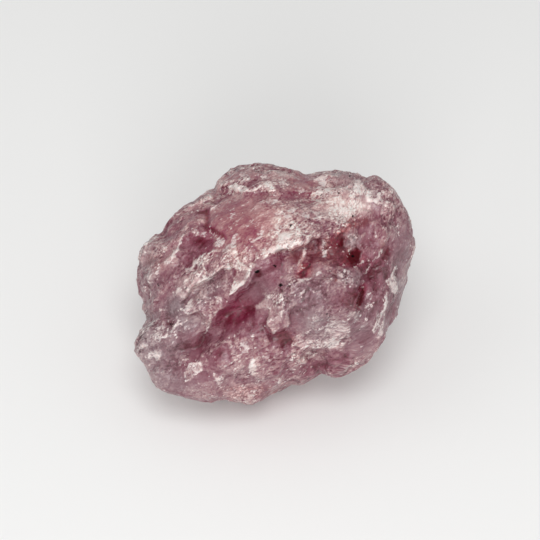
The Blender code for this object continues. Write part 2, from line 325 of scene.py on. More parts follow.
cad_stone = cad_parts["rose_quartz_chunk"]
rough = bmesh.new()
rough.from_mesh(cad_stone.data)
bmesh.ops.remove_doubles(rough, verts=rough.verts, dist=1.0e-6)
rough_mesh = bpy.data.meshes.new("rough")
rough.to_mesh(rough_mesh)
rough.free()
carrier = bpy.data.objects.new("rough", rough_mesh)
bpy.context.collection.objects.link(carrier)
remesh = carrier.modifiers.new("even", "REMESH")
remesh.mode = "VOXEL"
remesh.voxel_size = VOXEL
stone_mesh = bpy.data.meshes.new_from_object(carrier.evaluated_get(bpy.context.evaluated_depsgraph_get()))
bpy.data.objects.remove(carrier)
stone_mesh.name = "rose_quartz_stone"

surface = Surface(stone_mesh)
axes = np.array([right, up, out])
shown = (surface.points - np.array(HEART)) @ axes.T * MM

# The grain runs up to the right, and turns steeper over the right flank
turned = GRAIN_TURN + FLANK_TURN * smooth_step(FLANK_START, FLANK_END, shown[:, 0])
cos, sin = np.cos(turned), np.sin(turned)
pivot = shown - FLANK_PIVOT
grain = np.stack([
    (pivot[:, 0] * cos + pivot[:, 1] * sin) / GRAIN_STRETCH,
    pivot[:, 1] * cos - pivot[:, 0] * sin,
    pivot[:, 2],
], axis=-1)

# The show side, where facing is 1 straight towards the eye, and the sides that it hides
FRONT_FROM, FRONT_TO = -0.15, 0.25
HIDDEN_FROM, HIDDEN_TO = 0.05, -0.45
places = picture_places(surface.points)
facing = surface.normals() @ axes[2]
front = smooth_step(FRONT_FROM, FRONT_TO, facing)

# Smooth places: the broad face, the mauve window over it, the groove, the front and the hollow
GROOVE_WIDTH = 12
GROOVE_LINE = [(178, 346), (196, 340), (214, 330), (234, 318), (254, 306), (262, 290), (272, 268)]
CALM_ZONES = [
    (1.0, 248, 222, 40, 24, 14), (0.8, 301, 187, 13, 12, 0), (0.6, 268, 276, 14, 20, 0),
    (0.6, 215, 385, 55, 18, 0), (0.7, 403, 265, 9, 50, 0), (0.6, 360, 337, 11, 9, 0),
    (0.5, 196, 320, 14, 12, 0), (0.7, 336, 210, 26, 12, 15),
]
HOLLOW = (354, 249, 22, 16, 20)
WORN_ROUNDS = 30
CALMED, GROOVE_CALMED, GROOVE_WORN = 0.7, 0.25, 0.6
groove = stroke(places, GROOVE_WIDTH, *GROOVE_LINE)
calm = front * np.clip(painted(places, CALM_ZONES), 0.0, 1.0)
lively = (1.0 - CALMED * calm) * (1.0 - GROOVE_CALMED * groove * front)
lively *= smooth_step(0.0, FOOT, surface.points[:, 2])
worn = surface.blurred(surface.points, WORN_ROUNDS)
even = np.clip(calm + front * (groove + oval(places, *HOLLOW)), 0.0, 1.0)
surface.points += (worn - surface.points) * even[:, None]

# Stepped patches, which also break up the borders of what is drawn in the picture further on: how
# far those wander in pixels, over how many mm, and by how much of its width a patch drags them
JAGGED, JAGGED_WIDTH, JAGGED_SEEDS = 0.7, 0.8, (71, 72)
DRAG = 0.1
# How far the patches' own borders wander, in their widths, and the cell at which the pattern starts
RAGGED = 0.08
FIRST_CELL = 60.0
coarse_shade = np.zeros(len(grain))
jagged = places + JAGGED * waves(grain, JAGGED_WIDTH, JAGGED_SEEDS)
for width, height, share, seed in PATCHES:
    ragged = grain + RAGGED * width * waves(grain, width, (seed + 1, seed + 2, seed + 3))
    step, shade, way = broken_patches(ragged / width + FIRST_CELL, seed)
    rise = step * height * lively * (1.0 - GROOVE_WORN * groove * front) / MM
    surface.points += surface.normals() * rise[:, None]
    coarse_shade += shade * share
    way *= DRAG * width * PICTURE / PICTURE_WIDTH / MM
    jagged -= np.stack([
        way[:, 0] * GRAIN_STRETCH * cos - way[:, 1] * sin,
        -way[:, 0] * GRAIN_STRETCH * sin - way[:, 1] * cos,
    ], axis=-1)

# The hidden sides break into wide sheets, each a little paler or deeper than the next, in mm
SHEET_WIDTH, SHEET_STEP, SHEET_SEED = 6.0, 0.55, 29
SHEET_RAGGED, SHEET_RAGGED_WIDTH, SHEET_RAGGED_SEEDS = 0.8, 1.6, (41, 42, 43)
SHEET_TONE, SHEET_FROST, SHEET_FROST_WIDTH, SHEET_FROST_SEED = 0.13, 0.35, 3.5, 51
hidden = smooth_step(HIDDEN_FROM, HIDDEN_TO, facing) * smooth_step(0.0, FOOT, surface.points[:, 2])
ragged = grain + SHEET_RAGGED * waves(grain, SHEET_RAGGED_WIDTH, SHEET_RAGGED_SEEDS)
step, sheet_shade, _ = broken_patches(ragged / SHEET_WIDTH + FIRST_CELL, SHEET_SEED)
surface.points += surface.normals() * (step * SHEET_STEP * hidden / MM)[:, None]
tone_and_painted_light = SHEET_TONE * sheet_shade * hidden
frost = SHEET_FROST * np.clip(rolling(grain / SHEET_FROST_WIDTH, SHEET_FROST_SEED), 0.0, 1.0) * hidden

# Broken sheets that stand over deeper windows of the show side: (rise in mm, tone, outline)
FORMS = {
    "pale shelf": (0.5, 0.10, [
        (186, 290), (184, 285), (187, 276), (190, 268), (193, 262), (198, 258), (203, 253), (210, 251),
        (217, 249), (224, 250), (231, 243), (236, 247), (240, 262), (250, 268), (251, 276), (245, 281),
        (243, 285), (238, 290), (232, 295), (228, 298), (229, 292), (231, 284), (235, 275), (236, 268),
        (230, 269), (223, 271), (217, 275), (211, 280), (203, 285), (196, 290), (191, 294)]),
    "shard tip": (0.2, 0.22, [
        (228, 298), (231, 291), (236, 283), (243, 281), (243, 285), (238, 290), (232, 295)]),
    "spur": (0.3, 0.12, [
        (209, 298), (214, 296), (223, 297), (222, 306), (217, 314), (211, 325), (206, 333), (204, 331),
        (209, 320)]),
    "grey face corner": (0.0, -0.14, [
        (211, 280), (217, 275), (223, 271), (235, 268), (235, 275), (231, 284), (226, 292), (221, 286),
        (214, 284)]),
    "left pocket": (-0.2, -0.12, [
        (160, 318), (160, 308), (165, 302), (171, 297), (178, 295), (183, 300), (184, 308), (180, 313),
        (176, 317), (168, 320)]),
    "left recess": (-0.3, -0.18, [
        (183, 237), (190, 234), (197, 236), (206, 238), (213, 240), (214, 247), (208, 252), (203, 253),
        (198, 258), (193, 260), (192, 266), (188, 268), (184, 265), (178, 262), (176, 256), (179, 248)]),
    "groove": (0.0, -0.17, [
        (222, 308), (225, 297), (232, 295), (238, 290), (245, 283), (252, 270), (257, 262), (266, 258),
        (271, 254), (279, 253), (283, 256), (283, 268), (280, 278), (275, 289), (268, 295), (262, 300),
        (256, 306), (262, 309), (267, 311), (267, 328), (262, 334), (252, 334), (240, 338), (228, 340),
        (216, 342), (205, 343), (196, 348), (184, 349), (174, 349), (180, 342), (192, 338), (203, 333),
        (209, 326), (217, 314)]),
    "tongue": (0.45, 0.15, [
        (254, 306), (262, 301), (268, 296), (276, 292), (282, 294), (284, 300), (283, 309), (282, 318),
        (281, 327), (277, 331), (273, 334), (270, 329), (267, 328), (267, 318), (269, 309), (262, 307),
        (256, 309)]),
    "tongue notch": (-0.25, -0.18, [
        (268, 332), (273, 335), (278, 331), (283, 329), (287, 330), (292, 338), (291, 345), (284, 349),
        (274, 347), (269, 341)]),
    "front sheet": (0.35, 0.08, [
        (292, 340), (300, 333), (310, 339), (316, 349), (316, 353), (310, 357), (304, 362), (299, 365),
        (294, 370), (290, 369), (286, 368), (287, 364), (291, 359), (290, 350)]),
    "front sheet edge": (0.1, 0.16, [
        (286, 368), (288, 363), (293, 356), (300, 356), (309, 356), (304, 362), (299, 365), (294, 370)]),
    "crown band": (0.35, 0.17, [
        (228, 186), (235, 184), (243, 185), (246, 188), (252, 189), (258, 186), (266, 184), (273, 184),
        (275, 187), (275, 191), (270, 192), (262, 190), (254, 191), (249, 192), (243, 191), (238, 193),
        (233, 194), (228, 192)]),
    "crown hollow": (-0.2, -0.16, [
        (243, 183), (248, 180), (255, 179), (262, 181), (260, 185), (252, 188), (246, 187)]),
    "mauve window": (-0.15, -0.08, [
        (289, 178), (295, 175), (303, 174), (312, 176), (315, 180), (313, 187), (312, 193), (309, 198),
        (302, 199), (298, 192), (296, 189), (289, 188)]),
    "mauve band": (-0.1, -0.12, [
        (274, 190), (282, 188), (290, 189), (298, 193), (302, 199), (296, 201), (288, 199), (280, 198),
        (275, 196)]),
    "broad face corner": (0.0, 0.14, [
        (262, 222), (275, 217), (290, 219), (300, 226), (302, 240), (299, 244), (290, 245), (286, 249),
        (281, 252), (274, 254), (268, 257), (262, 256), (258, 247), (262, 236)]),
    "crown right band": (0.1, 0.12, [
        (312, 205), (326, 198), (335, 195), (345, 200), (352, 200), (362, 203), (372, 205), (370, 210),
        (360, 214), (352, 218), (345, 222), (338, 225), (333, 222), (324, 222), (314, 214)]),
    "crown patch": (0.2, 0.18, [
        (352, 184), (357, 180), (362, 182), (367, 187), (365, 192), (360, 194), (354, 192), (351, 188)]),
    "crown corner patch": (0.2, 0.18, [
        (367, 192), (376, 190), (381, 193), (380, 198), (383, 200), (378, 206), (374, 203), (367, 202),
        (365, 198)]),
    "red hollow": (-0.3, -0.16, [
        (330, 232), (336, 236), (342, 234), (347, 228), (352, 221), (360, 218), (368, 217), (371, 222),
        (369, 230), (362, 234), (357, 246), (361, 252), (361, 262), (352, 267), (344, 268), (336, 262),
        (331, 258), (327, 250)]),
    "hollow crystal": (0.25, 0.20, [
        (344, 244), (344, 237), (351, 234), (359, 234), (367, 234), (362, 240), (356, 245), (353, 249),
        (347, 251)]),
    "hollow bottom": (-0.15, -0.12, [
        (347, 253), (353, 251), (359, 252), (361, 256), (357, 262), (351, 264), (347, 260)]),
    "rib": (0.3, 0.16, [
        (300, 262), (303, 248), (307, 238), (310, 236), (308, 246), (305, 256), (303, 266), (300, 272),
        (297, 268)]),
    "red spot": (-0.3, -0.28, [
        (299, 273), (303, 270), (306, 267), (310, 264), (311, 268), (307, 271), (305, 276), (302, 278)]),
    "flank crack": (-0.4, -0.26, [
        (362, 288), (364, 292), (362, 298), (362, 304), (357, 306), (356, 303), (359, 296), (361, 290)]),
    "flank hollow": (-0.2, -0.14, [
        (366, 276), (371, 268), (378, 262), (384, 252), (388, 246), (390, 256), (391, 268), (388, 275),
        (384, 281), (380, 290), (374, 290), (368, 284)]),
    "flank patch": (0.3, 0.26, [
        (394, 265), (397, 268), (395, 276), (397, 284), (397, 292), (394, 295), (390, 290), (386, 285),
        (385, 280), (389, 277), (392, 272)]),
    "flank sheet": (0.3, 0.14, [
        (387, 293), (386, 303), (385, 312), (385, 322), (383, 330), (378, 341), (373, 334), (372, 330),
        (376, 322), (380, 315), (384, 305)]),
    "middle window": (-0.15, -0.09, [(311, 282), (322, 281), (325, 287), (317, 292), (309, 289)]),
    "middle pocket": (-0.1, -0.07, [
        (303, 299), (311, 295), (320, 296), (327, 300), (320, 308), (306, 308)]),
    "brown window": (-0.2, -0.12, [
        (340, 302), (344, 293), (351, 288), (359, 286), (357, 296), (352, 305), (343, 306)]),
    "rose window": (-0.2, -0.10, [
        (308, 262), (311, 250), (314, 240), (318, 238), (320, 246), (322, 255), (327, 258), (326, 268),
        (318, 272), (311, 271)]),
    "rose window left": (-0.15, -0.07, [
        (286, 250), (296, 247), (301, 249), (299, 258), (295, 264), (290, 265)]),
    "middle sheet": (0.2, 0.07, [
        (288, 283), (296, 279), (306, 277), (311, 281), (306, 288), (300, 296), (293, 298), (289, 292)]),
    "frosty patch": (0.1, 0.12, [
        (328, 322), (335, 318), (346, 320), (350, 328), (348, 342), (343, 350), (336, 348), (330, 347),
        (325, 343), (325, 330)]),
    "grey window": (-0.1, -0.06, [
        (351, 332), (358, 330), (368, 330), (370, 335), (368, 342), (362, 347), (355, 342), (351, 337)]),
    "right bulge": (0.0, -0.14, [
        (328, 352), (336, 348), (345, 345), (350, 352), (350, 366), (341, 374), (333, 378), (327, 372),
        (325, 362)]),
    "under sheet": (0.1, 0.08, [(289, 373), (296, 369), (303, 370), (302, 376), (295, 379)]),
    "lobe patch": (0.15, 0.14, [
        (147, 351), (153, 350), (160, 350), (163, 352), (160, 361), (153, 362), (149, 360)]),
    "round chip": (0.25, 0.18, [
        (184, 373), (188, 364), (195, 363), (201, 362), (204, 368), (202, 373), (195, 374), (192, 379),
        (186, 380)]),
    "low chip": (0.2, 0.14, [
        (214, 374), (219, 373), (224, 374), (223, 382), (221, 388), (217, 384), (214, 378)]),
    "front chip": (0.25, 0.18, [
        (250, 360), (254, 359), (256, 364), (257, 370), (254, 375), (250, 373), (249, 366)]),
}
FORM_TONE = 1.2
# In pixels, how soft their borders are and how wide the crushed edge of a sheet is that rises in mm
EDGE = 0.7
CRUSHED_RISE, CRUSHED_EDGE, CRUSHED_FROM, CRUSHED_TO = 0.15, 0.4, 0.8, 2.6
for rise, amount, corners in FORMS.values():
    depth = inside(jagged, corners)
    covered = smooth_step(-EDGE, EDGE, depth) * front
    surface.points += np.outer(covered * rise / MM, axes[2])
    tone_and_painted_light += FORM_TONE * amount * covered
    if rise > CRUSHED_RISE:
        frost += CRUSHED_EDGE * covered * (1.0 - smooth_step(CRUSHED_FROM, CRUSHED_TO, depth))
surface.points[:, 2] = np.maximum(surface.points[:, 2], 0.0)

# Crushed edges, and painted shade in cracks with paler ridges, from the shape itself, against blurred
# copies of it
CREST_ROUNDS, CREST_HEIGHT = 3, 0.00006
RIDGE_ROUNDS, RIDGE_HEIGHT = 24, 0.0004
crest = np.clip(surface.relief(CREST_ROUNDS) / CREST_HEIGHT, -1.5, 2.0)
relief_shade = np.clip(surface.relief(RIDGE_ROUNDS) / RIDGE_HEIGHT, -1.2, 1.5)

# Slow changes from deep to pale over the show side, by place, partly the stone's own tone and partly
# painted light: the crown paler as if lit from above, the lower left and the right flank darker as painted
# shade; the whole scale is 1 long
OVERALL_TONE = -0.03
TONE_AND_LIGHT_ZONES = [
    # the crown, pale to the right, and paler overall as painted light from above
    (0.07, 290, 188, 80, 24, 0), (0.06, 270, 172, 26, 8, 0), (0.07, 230, 192, 16, 10, 0),
    (0.10, 320, 195, 14, 10, 0), (0.14, 339, 191, 22, 11, 0), (0.16, 345, 205, 34, 14, 20),
    (0.19, 342, 210, 14, 11, 10), (0.07, 362, 198, 26, 16, -20), (-0.06, 362, 190, 12, 10, 0),
    # the broad pink face
    (0.08, 250, 210, 42, 22, 10), (0.06, 260, 210, 36, 8, 0), (0.07, 260, 209, 10, 7, 0),
    (-0.08, 230, 207, 14, 11, 20), (-0.08, 240, 230, 14, 10, 20), (-0.08, 222, 230, 10, 9, 0),
    (0.12, 288, 228, 22, 18, 0), (0.22, 283, 237, 9, 6, 20), (0.13, 308, 231, 15, 9, 0),
    (0.24, 354, 230, 18, 9, 0),
    # the left side, darker low down as painted shade
    (-0.08, 202, 212, 9, 7, 0), (0.07, 182, 230, 9, 9, 0), (0.17, 155, 250, 15, 12, 0),
    (-0.10, 203, 247, 12, 9, 35), (0.08, 200, 252, 9, 8, 0), (-0.05, 190, 270, 16, 8, 0),
    (-0.07, 168, 290, 18, 26, 0), (-0.12, 168, 328, 24, 36, 0), (-0.08, 156, 312, 12, 13, 0),
    (-0.05, 161, 331, 12, 9, 0), (-0.06, 182, 320, 14, 14, 0), (-0.19, 180, 373, 24, 13, 0),
    (-0.05, 200, 388, 60, 14, 0),
    # the shelf and the groove
    (0.10, 252, 257, 24, 13, 15), (0.12, 237, 256, 13, 12, 0), (0.15, 229, 271, 13, 9, 20),
    (0.10, 276, 262, 16, 12, 0), (0.15, 281, 251, 10, 9, 0), (-0.10, 209, 303, 15, 14, 0),
    (0.05, 232, 300, 16, 12, 30), (0.09, 260, 300, 8, 13, 0), (0.08, 262, 310, 8, 8, 0),
    (0.08, 215, 332, 24, 8, -28), (-0.05, 237, 325, 9, 6, 0), (-0.29, 220, 351, 13, 9, 0),
    (-0.16, 222, 366, 12, 12, 0), (-0.06, 255, 352, 22, 9, 0), (0.34, 243, 394, 16, 9, 0),
    # the middle and the front
    (-0.24, 300, 290, 10, 8.5, 0), (-0.05, 300, 300, 24, 12, 0), (-0.10, 306, 310, 14, 10, 0),
    (-0.06, 305, 320, 30, 20, 0), (-0.06, 285, 355, 20, 16, 0), (-0.06, 275, 370, 20, 10, 0),
    (-0.21, 321, 369, 13, 9, 0), (-0.12, 304, 370, 24, 10, 0), (-0.10, 350, 305, 50, 42, 0),
    (-0.12, 348, 331, 18, 14, 0), (-0.05, 358, 350, 12, 9, 0),
    # the hollow, and the right flank, darker as painted shade
    (-0.10, 336, 250, 14, 20, 0), (0.07, 318, 252, 10, 9, 0), (0.07, 330, 250, 18, 9, 0),
    (-0.08, 316, 250, 12, 18, 60), (-0.12, 353, 258, 7, 5, 20), (0.16, 343, 264, 5, 4, 0),
    (0.12, 362, 260, 5, 6, 0), (0.12, 369, 246, 6, 6, 0), (0.07, 382, 250, 9, 9, 0),
    (-0.08, 342, 270, 14, 10, 0), (-0.10, 375, 252, 34, 22, 0), (-0.08, 372, 262, 16, 30, 0),
    (-0.13, 376, 290, 22, 46, 0), (-0.10, 368, 299, 17, 17, 0), (-0.08, 380, 330, 12, 12, 0),
    (-0.08, 400, 280, 14, 50, 0),
]
TONE_LINES_AND_RIM_SHADE = [
    # along the groove, along the pale seam over it, and painted shade along the rim at the foot, where the
    # underside is in shadow
    (-0.09, 14, (172, 350), (195, 338), (212, 330), (234, 318), (252, 306), (266, 288), (270, 268)),
    (0.10, 7, (237, 264), (255, 257), (271, 252), (285, 247), (300, 242)),
    (-0.22, 2.5, (226, 404), (254, 406), (263, 402), (271, 397), (281, 390), (304, 387), (322, 377)),
    (-0.20, 3, (165, 392), (178, 394), (192, 400), (213, 405)),
    (-0.15, 3, (334, 381), (352, 373), (366, 364), (375, 354), (388, 331)),
]
TONE_CRACKS = [
    (-0.30, 2.5, (197, 213), (208, 212), (208, 229), (212, 228), (224, 237)),
    (-0.20, 1.5, (208, 211), (214, 206), (221, 201)), (-0.12, 2, (319, 241), (319, 251)),
]
SPECK_SHADOWS = [
    (-0.25, 257, 272, 5, 4, 0), (-0.25, 281, 285, 5, 4, 0), (-0.25, 353, 257, 5, 4, 0),
    (-0.25, 171, 324, 5, 4, 0),
]
# Painted light and shade go into the tone here along with the stone's own colour
tone_and_painted_light += front * (
    OVERALL_TONE + painted(places, TONE_AND_LIGHT_ZONES + SPECK_SHADOWS, TONE_LINES_AND_RIM_SHADE)
    + painted(jagged, (), TONE_CRACKS))

# Crushed white grains: chips, streaks and frosted places
FROST_CHIPS = [
    (1.2, 178, 290, 5, 4, 20), (1.0, 196, 263, 4, 3, 0), (0.9, 202, 234, 4, 3, 0),
    (1.3, 221, 242, 6, 6, 0), (1.3, 283, 237, 5, 4, 30), (0.9, 236, 189, 8, 3, 0),
    (1.0, 264, 177, 4, 2, 0), (0.7, 244, 174, 6, 3, 20), (0.6, 230, 174, 5, 4, 0),
    (0.9, 284, 182, 5, 4, 0), (0.9, 273, 202, 7, 3, 0), (1.1, 291, 210, 4, 3, 0),
    (1.1, 300, 191, 3, 2.5, 0), (1.1, 322, 182, 6, 4, -40), (0.6, 322, 191, 9, 8, 0),
    (0.9, 333, 189, 4, 2, 0), (0.5, 342, 190, 9, 8, 0), (0.7, 358, 187, 7, 6, 0),
    (0.8, 373, 198, 8, 6, 0), (0.1, 345, 208, 22, 7, 20), (0.7, 380, 325, 4, 9, 0),
    (1.1, 305, 280, 6, 3, 20), (1.0, 320, 273, 3, 2, 0), (0.8, 290, 299, 3, 2, 0),
    (0.6, 345, 277, 10, 7, 0), (0.6, 364, 300, 8, 12, 0), (0.6, 360, 318, 9, 10, 0),
    (1.0, 332, 344, 6, 4, 0), (0.6, 338, 330, 12, 14, 0), (0.5, 168, 330, 22, 13, 20),
    (0.6, 155, 356, 7, 6, 0), (0.7, 194, 369, 9, 6, 0), (0.8, 180, 364, 4, 3, 0),
    (0.6, 219, 380, 4, 7, 0), (1.0, 252, 366, 3.5, 5, 0), (1.0, 245, 346, 7, 5, 0),
    (1.0, 209, 377, 2, 2, 0), (0.6, 241, 390, 4, 3, 0), (0.9, 355, 361, 2, 3, 0),
]
FROST_STREAKS = [
    (1.2, 1.8, (183, 238), (179, 246), (176, 252)), (0.8, 1.3, (175, 255), (170, 262)),
    (1.2, 1.6, (187, 270), (192, 267)), (1.2, 2.2, (182, 309), (187, 308), (191, 304)),
    (1.0, 1.4, (187, 312), (192, 300)), (0.9, 1.3, (211, 226), (213, 236)),
    (0.8, 1.3, (211, 210), (217, 206)), (1.2, 2.0, (236, 233), (234, 240), (233, 248)),
    (1.3, 1.7, (253, 241), (260, 237)), (1.0, 1.2, (259, 234), (264, 231)),
    (1.1, 2.2, (271, 252), (280, 249), (286, 245), (293, 243), (300, 242)),
    (1.0, 1.3, (231, 218), (234, 215)), (0.9, 1.5, (274, 214), (283, 213)),
    (0.9, 1.4, (284, 217), (290, 216)), (0.9, 1.4, (301, 216), (308, 216)),
    (1.0, 1.6, (313, 211), (320, 211)), (1.0, 1.6, (315, 213), (320, 218)),
    (0.8, 1.6, (303, 201), (310, 199), (318, 201)), (0.9, 1.5, (395, 217), (395, 228)),
    (0.8, 1.6, (397, 226), (398, 235)),
    (1.0, 1.2, (354, 267), (364, 261), (371, 260), (376, 259), (380, 255), (381, 250)),
    (0.7, 1.2, (369, 262), (368, 268), (366, 275), (363, 282), (362, 288)),
    (1.1, 3.0, (395, 268), (391, 280), (394, 290)),
    (0.9, 1.2, (387, 294), (385, 305), (380, 316), (375, 326), (372, 333)),
    (1.2, 2.2, (324, 242), (325, 255)), (1.0, 1.6, (300, 299), (305, 290)),
    (1.0, 1.3, (150, 324), (160, 318)), (0.9, 1.2, (155, 330), (162, 326)),
    (1.2, 1.3, (162, 338), (168, 336)), (0.9, 1.6, (170, 345), (178, 338)),
    (1.0, 1.4, (173, 328), (178, 321)), (0.8, 1.2, (182, 324), (186, 330)),
    (1.1, 1.3, (250, 335), (254, 335)), (0.9, 1.2, (241, 322), (245, 321)),
    (1.2, 1.2, (209, 327), (205, 332)), (1.0, 1.2, (202, 321), (206, 323)),
    (0.6, 2.5, (264, 380), (254, 390), (250, 399)), (0.8, 1.3, (283, 376), (280, 382)),
    (0.8, 1.2, (277, 389), (273, 392)),
    (0.8, 1.0, (327, 374), (332, 378), (341, 376), (348, 371), (357, 365)),
    (0.7, 1.2, (215, 403), (224, 399)),
]
CLEARER_PLACES = [(-0.2, 362, 198, 26, 16, -20), (-0.1, 325, 298, 30, 18, 20)]
CLEARER_GROOVE = 0.5
frost += front * (
    painted(jagged, FROST_CHIPS, FROST_STREAKS) + painted(places, CLEARER_PLACES) - CLEARER_GROOVE * groove)

# Seams and hollows stained red by iron
IRON_SPOTS = [
    (1.0, 304, 271, 8, 5, 45), (0.5, 310, 256, 14, 16, 60), (0.6, 353, 259, 11, 8, 0),
    (0.7, 284, 338, 10, 7, 0), (0.5, 384, 250, 5, 10, 0), (0.5, 350, 300, 10, 9, 0),
    (0.4, 296, 257, 8, 8, 0), (0.4, 155, 262, 10, 14, 0),
]
IRON_SEAMS = [
    (0.7, 5, (329, 242), (331, 256), (338, 240), (346, 230), (352, 222), (366, 222)),
    (0.9, 2, (214, 230), (223, 237)), (0.8, 2, (197, 213), (207, 213), (206, 230)),
    (0.6, 2, (334, 272), (336, 281)), (0.8, 2.5, (363, 288), (360, 298), (357, 306)),
    (0.5, 2, (319, 241), (319, 251)),
]
IRON_HALOS = [
    (0.5, 345, 250, 22, 16, 20), (0.4, 250, 392, 40, 8, 0),
]
iron = front * (painted(jagged, IRON_SPOTS, IRON_SEAMS) + painted(places, IRON_HALOS))

# Greyer places, above 0, and more strongly coloured ones, below it
GREY_ZONES = [
    (-0.7, 248, 228, 44, 30, 14), (-0.2, 250, 298, 20, 12, 60), (0.2, 200, 340, 30, 12, 30),
    (0.4, 178, 325, 12, 50, 0), (0.45, 256, 290, 16, 18, 30), (0.3, 392, 300, 14, 50, 0),
    (-0.3, 330, 195, 34, 14, 0), (-0.4, 300, 186, 16, 12, 0), (0.25, 220, 385, 60, 20, 0),
    (0.6, 205, 292, 26, 12, 38), (0.6, 172, 306, 12, 10, 30), (0.6, 192, 322, 16, 10, 10),
    (0.5, 305, 298, 34, 26, 30), (0.8, 150, 350, 22, 36, 0), (0.4, 170, 385, 24, 16, 0),
    (0.5, 348, 276, 14, 9, 0), (0.6, 404, 265, 12, 60, 0), (0.5, 362, 325, 24, 34, 0),
    (0.5, 148, 275, 14, 45, 0), (0.4, 360, 190, 30, 14, -20), (0.6, 320, 330, 20, 20, 0),
]
GREY_SPOTS = [
    (1.0, 351, 241, 10, 8, 20), (-1.0, 353, 259, 12, 8, 0), (-1.2, 304, 271, 9, 6, 45),
    (-0.8, 338, 240, 10, 8, 40), (-0.3, 236, 312, 18, 10, 30),
]
GREY_CRACKS = [
    (-1.0, 4, (363, 288), (360, 298), (357, 306)),
]
grey = front * (painted(places, GREY_ZONES) + painted(jagged, GREY_SPOTS, GREY_CRACKS))

# Small black specks of another mineral
SPECKS = [
    (1.0, 291, 225, 2.1, 1.5, -50), (1.0, 353, 216, 1.4, 1.5, 0), (1.0, 257, 272, 3.2, 1.7, 10),
    (1.0, 275, 266, 1.3, 1.2, 0), (1.0, 281, 285, 2.6, 1.9, 0), (1.0, 353, 256, 2.1, 1.7, 0),
    (1.0, 321, 195, 1.4, 1.2, 0), (1.0, 327, 314, 1.6, 1.2, 40), (1.0, 339, 193, 1.3, 1.0, 0),
    (1.0, 171, 324, 1.6, 1.2, 0), (1.0, 346, 283, 1.4, 1.0, 0), (1.0, 214, 262, 1.0, 1.1, 0),
    (1.0, 350, 176, 1.1, 1.2, 0), (1.0, 236, 377, 1.2, 1.0, 0), (1.0, 158.5, 285, 2.9, 1.0, -65),
    (1.0, 186, 288.5, 1.9, 0.9, 35), (1.0, 310, 265, 1.4, 1.1, 0), (1.0, 199, 300, 1.1, 0.9, 0),
]
speck = front * painted(places, SPECKS)

# The crown's right side and the middle are less crumbly than they are uneven
LESS_CRUMBLY = [(0.45, 358, 196, 30, 18, -20), (0.3, 325, 298, 30, 18, 20)]
lively *= 1.0 - front * painted(places, LESS_CRUMBLY)

for name, values in {
    "grain": grain, "crest": crest, "relief_shade": relief_shade, "shade": coarse_shade, "lively": lively,
    "tone_and_painted_light": tone_and_painted_light, "frost": frost, "iron": iron, "grey": grey, "speck": speck,
}.items():
    surface.attribute(name, values)
surface.normals()
stone_mesh.shade_smooth()

# Rose quartz, freshly broken: cloudy pink from deep raspberry in the cracks to almost white where
# the grains are crushed. Small faces are glassy, and the sugary parts between them are dull.
TONES = [
    (0.00, "#551221"), (0.16, "#742F42"), (0.32, "#87525F"), (0.50, "#9E7578"),
    (0.68, "#B99595"), (0.84, "#D4BAB5"), (1.00, "#F1E6E1"),
]
IRON_STAIN = "#E2A0A4"
SUGAR_AND_GLINT_WHITE = "#EBDEDA"
DARK_SPECK = "#0C0607"
# Widths in mm: of the clouds, of the broken pieces from plates to grit, of the borders' jitter, of
# the sugar and of the torn layers
CLOUDS = 7.0
PIECES = {"plates": 4.6, "shards": 2.1, "slivers": 0.9, "grit": 0.36}
JITTER, JITTER_WIDTH = 0.9, 0.8
SUGAR = 0.45
TORN = 1.7
BUMP_DEPTH = 0.0003
QUARTZ_IOR = 1.544
SCATTER_SHARE, SCATTER_RADIUS, SCATTER_DEPTH = 0.25, (1.0, 0.45, 0.42), 0.0005
SPECULAR, COAT, COAT_ROUGHNESS, SPECK_SHINE = 0.5, 0.25, 0.12, 0.05


def math_node(tree, operation, *values):
    """The result of a sum, product or other operation on numbers and outputs."""
    return add(tree, "ShaderNodeMath", dict(enumerate(values)), operation=operation).outputs[0]


def ranged(tree, value, low, high, start=0.0, end=1.0, **settings):
    """A value taken from the range low to high over to the range start to end, and kept inside it."""
    sockets = {"Value": value, "From Min": low, "From Max": high, "To Min": start, "To Max": end}
    return add(tree, "ShaderNodeMapRange", sockets, **settings).outputs["Result"]


def weighted(tree, start, parts):
    """A start value plus parts of (amount, middle, value), each counted from its middle."""
    total = start - sum(amount * middle for amount, middle, _ in parts)
    for amount, _, value in parts:
        total = math_node(tree, "MULTIPLY_ADD", value, amount, total)
    return total


quartz = bpy.data.materials.new("rose_quartz_rough")
quartz.use_nodes = True
tree = quartz.node_tree
shader = tree.nodes["Principled BSDF"]
read = {name: add(tree, "ShaderNodeAttribute", attribute_name=name).outputs["Fac"]
        for name in ("crest", "relief_shade", "shade", "lively", "tone_and_painted_light", "frost", "iron", "grey", "speck")}
grain_at = add(tree, "ShaderNodeAttribute", attribute_name="grain").outputs["Vector"]

clouds = add(tree, "ShaderNodeTexNoise", {
    "Vector": grain_at, "Scale": 1 / CLOUDS, "Detail": 3.0, "Roughness": 0.55, "Distortion": 0.6})
jitter = add(tree, "ShaderNodeTexNoise", {
    "Vector": grain_at, "Scale": 1 / JITTER_WIDTH, "Detail": 3.0, "Roughness": 0.65})
jitter_by = add(tree, "ShaderNodeVectorMath", {
    0: jitter.outputs["Color"], 1: (0.5, 0.5, 0.5)}, operation="SUBTRACT")
jitter_at = add(tree, "ShaderNodeVectorMath", {
    0: jitter_by.outputs[0], 1: (JITTER, JITTER, JITTER), 2: grain_at}, operation="MULTIPLY_ADD")

